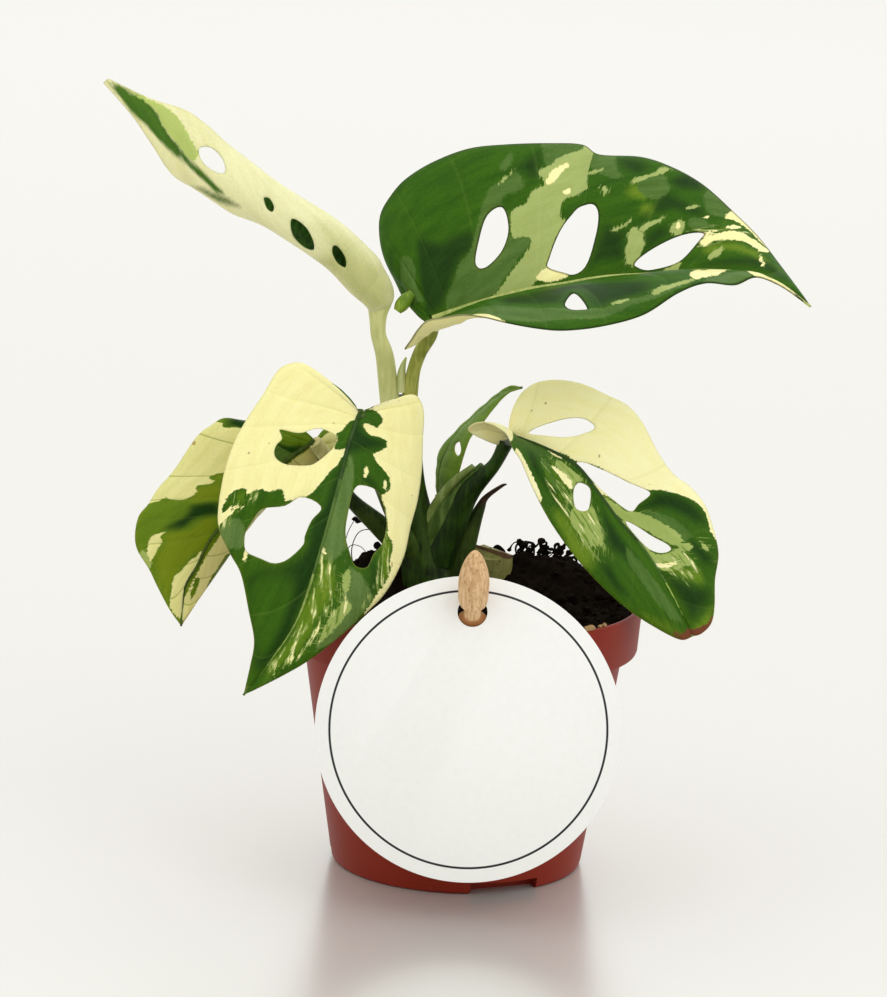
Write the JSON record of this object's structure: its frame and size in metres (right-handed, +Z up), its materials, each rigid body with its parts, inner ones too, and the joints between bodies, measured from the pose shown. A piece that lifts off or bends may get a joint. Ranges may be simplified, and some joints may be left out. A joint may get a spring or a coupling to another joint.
{
  "type": "potted variegated monstera adansonii",
  "caption": "Young houseplant with holed, cream-variegated leaves arching from a small round plastic nursery pot, with a plain round card pegged at the rim.",
  "frame": {"origin": "centre of the pot's underside, where it stands", "axes": "+Z up along the pot's axis, -Y towards the side that carries the card, X across"},
  "size_m": [0.1172, 0.0694, 0.1301],
  "materials": {
    "pot_plastic": "satin red-brown plastic",
    "peat": "dark crumbly peat",
    "green_stem": "smooth green stem",
    "old_stem": "old olive stem with a dry brown cut",
    "dry_sheath": "drying green sheath",
    "leaf_upper_blade": "semi-gloss leaf, green marbled with cream",
    "leaf_new_blade": "semi-gloss leaf, cream outside and green inside",
    "leaf_right_blade": "semi-gloss leaf, half cream, half marbled green",
    "leaf_left_blade": "semi-gloss leaf, green marbled with cream",
    "leaf_front_blade": "semi-gloss leaf, half cream, half green",
    "leaf_small_blade": "semi-gloss bright green leaf",
    "card_white": "smooth white card",
    "peg_wood": "pale turned wood"
  },
  "bodies": {
    "root": {"pot": "pot_plastic", "soil": "peat", "stem": "green_stem", "cutting_stub": "old_stem", "cataphyll": "dry_sheath", "leaf_upper": "leaf_upper_blade", "leaf_new": "leaf_new_blade", "leaf_right": "leaf_right_blade", "leaf_left": "leaf_left_blade", "leaf_front": "leaf_front_blade", "leaf_small": "leaf_small_blade", "card": "card_white", "peg": "peg_wood"}
  },
  "joints": []
}
